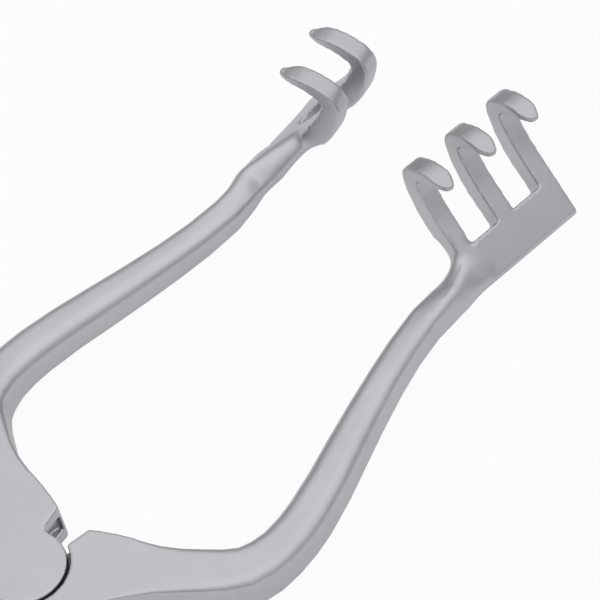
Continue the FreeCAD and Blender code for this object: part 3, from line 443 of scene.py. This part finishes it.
def cast_and_tumbled(skin, forging):
    """Casts the skin anew in small cells and evens it out, which rounds every edge as tumbling does,
    and shapes its neck. Then it is thinned to MOST_TRIANGLES, of which each four-sided face has two."""
    cast = skin.modifiers.new("cast", "REMESH")
    cast.mode = "VOXEL"
    cast.voxel_size = CELL
    work_out(skin)
    places = np.empty(len(skin.data.vertices) * 3)
    skin.data.vertices.foreach_get("co", places)
    places = places.reshape(-1, 3)
    pairs = np.empty(len(skin.data.edges) * 2, dtype=np.int64)
    skin.data.edges.foreach_get("vertices", pairs)
    pairs = pairs.reshape(-1, 2)
    everywhere = np.ones(len(places))
    places = evened(places, pairs, everywhere, RIPPLE_ROUNDS, RIPPLE_WAY_BACK)
    places = evened(places, pairs, everywhere, TUMBLING_ROUNDS, 0.0)
    for flow in forging["flows"]:
        places = flowed(places, pairs, *flow)
    if "set_over" in forging:
        places = set_over(places, forging["side"], *forging["set_over"])
    skin.data.vertices.foreach_set("co", places.reshape(-1))
    thin = skin.modifiers.new("thinned", "DECIMATE")
    thin.ratio = MOST_TRIANGLES / (2 * len(skin.data.polygons))
    work_out(skin)
    smooth_faces(skin.data)
    skin.data.update()


def dress(node, material):
    """Replaces a CAD node by its own skin in a finish of its own."""
    points, faces = peened_pin() if node == "joint_pin" else welded_facets(node)
    if node in FORGINGS:
        more, others = neck_web(FORGINGS[node]["side"], FORGINGS[node]["neck"])
        faces = np.concatenate((faces, others + len(points)))
        points = np.concatenate((points, more))
    skin = bpy.data.objects.new(node + "_skin", new_mesh(node + "_skin", points, faces))
    bpy.context.scene.collection.objects.link(skin)
    if node in FORGINGS:
        cast_and_tumbled(skin, FORGINGS[node])
    skin.data.materials.append(material)
    if node == "return_spring":
        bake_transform(skin)
    else:
        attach(skin, [body for body, names in frame["record"]["behaviour"]["bodies"].items() if node in names][0])
    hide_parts(node)


def paper_material():
    """White paper: the camera sees it nearly plain white, with a faint shadow, and the steel sees a third
    of plain white and two thirds of its lit tone."""
    material, tree, shader = new_material("white_paper")
    socket(shader, "Base Color", PAPER_TONE)
    socket(shader, "Roughness", PAPER_ROUGH)
    socket(shader, "Specular IOR Level", 0.0)
    glow = tree.nodes.new("ShaderNodeEmission")
    socket(glow, "Strength", 1.0)
    seen = tree.nodes.new("ShaderNodeLightPath")
    steel_sees = calculate(tree, "MULTIPLY", seen.outputs["Is Glossy Ray"], PAPER_WHITE_IN_STEEL)
    rays = calculate(tree, "MAXIMUM", seen.outputs["Is Camera Ray"], steel_sees)
    rays = calculate(tree, "MAXIMUM", rays, seen.outputs["Is Transmission Ray"])
    shown = calculate(tree, "MULTIPLY", rays, PAPER_WHITE)
    both = tree.nodes.new("ShaderNodeMixShader")
    tree.links.new(shown, both.inputs["Fac"])
    tree.links.new(shader.outputs["BSDF"], both.inputs[1])
    tree.links.new(glow.outputs["Emission"], both.inputs[2])
    tree.links.new(both.outputs["Shader"], tree.nodes["Material Output"].inputs["Surface"])
    return material


def lay_paper():
    """Lays the white paper under the instrument."""
    mesh = bpy.data.meshes.new("paper")
    corners = [(x * PAPER_HALF, y * PAPER_HALF, PAPER_HIGH) for x, y in ((-1, -1), (1, -1), (1, 1), (-1, 1))]
    mesh.from_pydata(corners, [], [(0, 1, 2, 3)])
    plane = bpy.data.objects.new("paper", mesh)
    bpy.context.scene.collection.objects.link(plane)
    mesh.materials.append(paper_material())


def hang_soft_box():
    """Hangs a square soft box over the instrument."""
    lamp = bpy.data.lights.new("box_above", "AREA")
    lamp.shape = "SQUARE"
    lamp.size = BOX_WIDE
    lamp.energy = BOX_POWER
    holder = bpy.data.objects.new("box_above", lamp)
    holder.location = BOX_AT
    holder.rotation_euler = (Vector(BOX_AIM) - Vector(BOX_AT)).to_track_quat("-Z", "Y").to_euler()
    bpy.context.scene.collection.objects.link(holder)


def build_studio():
    """A studio whose walls darken from the ceiling's soft white down to the horizon, lighter towards +X.
    The camera sees plain white in its place."""
    world = bpy.data.worlds.new("studio")
    world.use_nodes = True
    bpy.context.scene.world = world
    tree = world.node_tree
    walls = tree.nodes["Background"]
    direction = split(tree, tree.nodes.new("ShaderNodeTexCoord").outputs["Generated"])
    height = spread(tree, direction["Z"], *WALL_RISE, 0.0, 1.0)
    lighter = spread(tree, direction["X"], *LIGHTER_WALL, 0.0, LIGHTER_WALL_SHARE)
    height = calculate(tree, "MINIMUM", calculate(tree, "ADD", height, lighter), 1.0)
    tree.links.new(blend_colours(tree, height, HORIZON, CEILING), walls.inputs["Color"])
    socket(walls, "Strength", 1.0)
    white = tree.nodes.new("ShaderNodeBackground")
    socket(white, "Color", WHITE)
    socket(white, "Strength", 1.0)
    seen = tree.nodes.new("ShaderNodeLightPath")
    choose = tree.nodes.new("ShaderNodeMixShader")
    tree.links.new(seen.outputs["Is Camera Ray"], choose.inputs["Fac"])
    tree.links.new(walls.outputs["Background"], choose.inputs[1])
    tree.links.new(white.outputs["Background"], choose.inputs[2])
    tree.links.new(choose.outputs["Shader"], tree.nodes["World Output"].inputs["Surface"])


def place_camera():
    """Puts the camera where the photographer's was."""
    lens = bpy.data.cameras.new("copy_camera")
    lens.sensor_fit = "HORIZONTAL"
    lens.sensor_width = SENSOR_WIDE
    lens.lens = SENSOR_WIDE * FOCAL_SHARE
    lens.shift_x = -CENTRE_RIGHT
    lens.shift_y = -CENTRE_UP
    lens.clip_start = CLIP_NEAR
    lens.clip_end = CLIP_FAR
    camera = bpy.data.objects.new("copy_camera", lens)
    axes = Matrix((CAMERA_RIGHT, [-c for c in CAMERA_DOWN], [-c for c in CAMERA_FORWARD]))
    turn = axes.transposed().to_4x4()
    camera.matrix_world = Matrix.Translation(Vector(CAMERA_AT) / MM_IN_METRE) @ turn
    bpy.context.scene.collection.objects.link(camera)
    bpy.context.scene.camera = camera


steels = {finish: steel(*row, CURLED.get(finish)) for finish, row in FINISHES.items()}
for node, finish in WEARS.items():
    dress(node, steels[finish])
lay_paper()
hang_soft_box()
build_studio()
place_camera()
bpy.context.scene.view_settings.view_transform = "Standard"
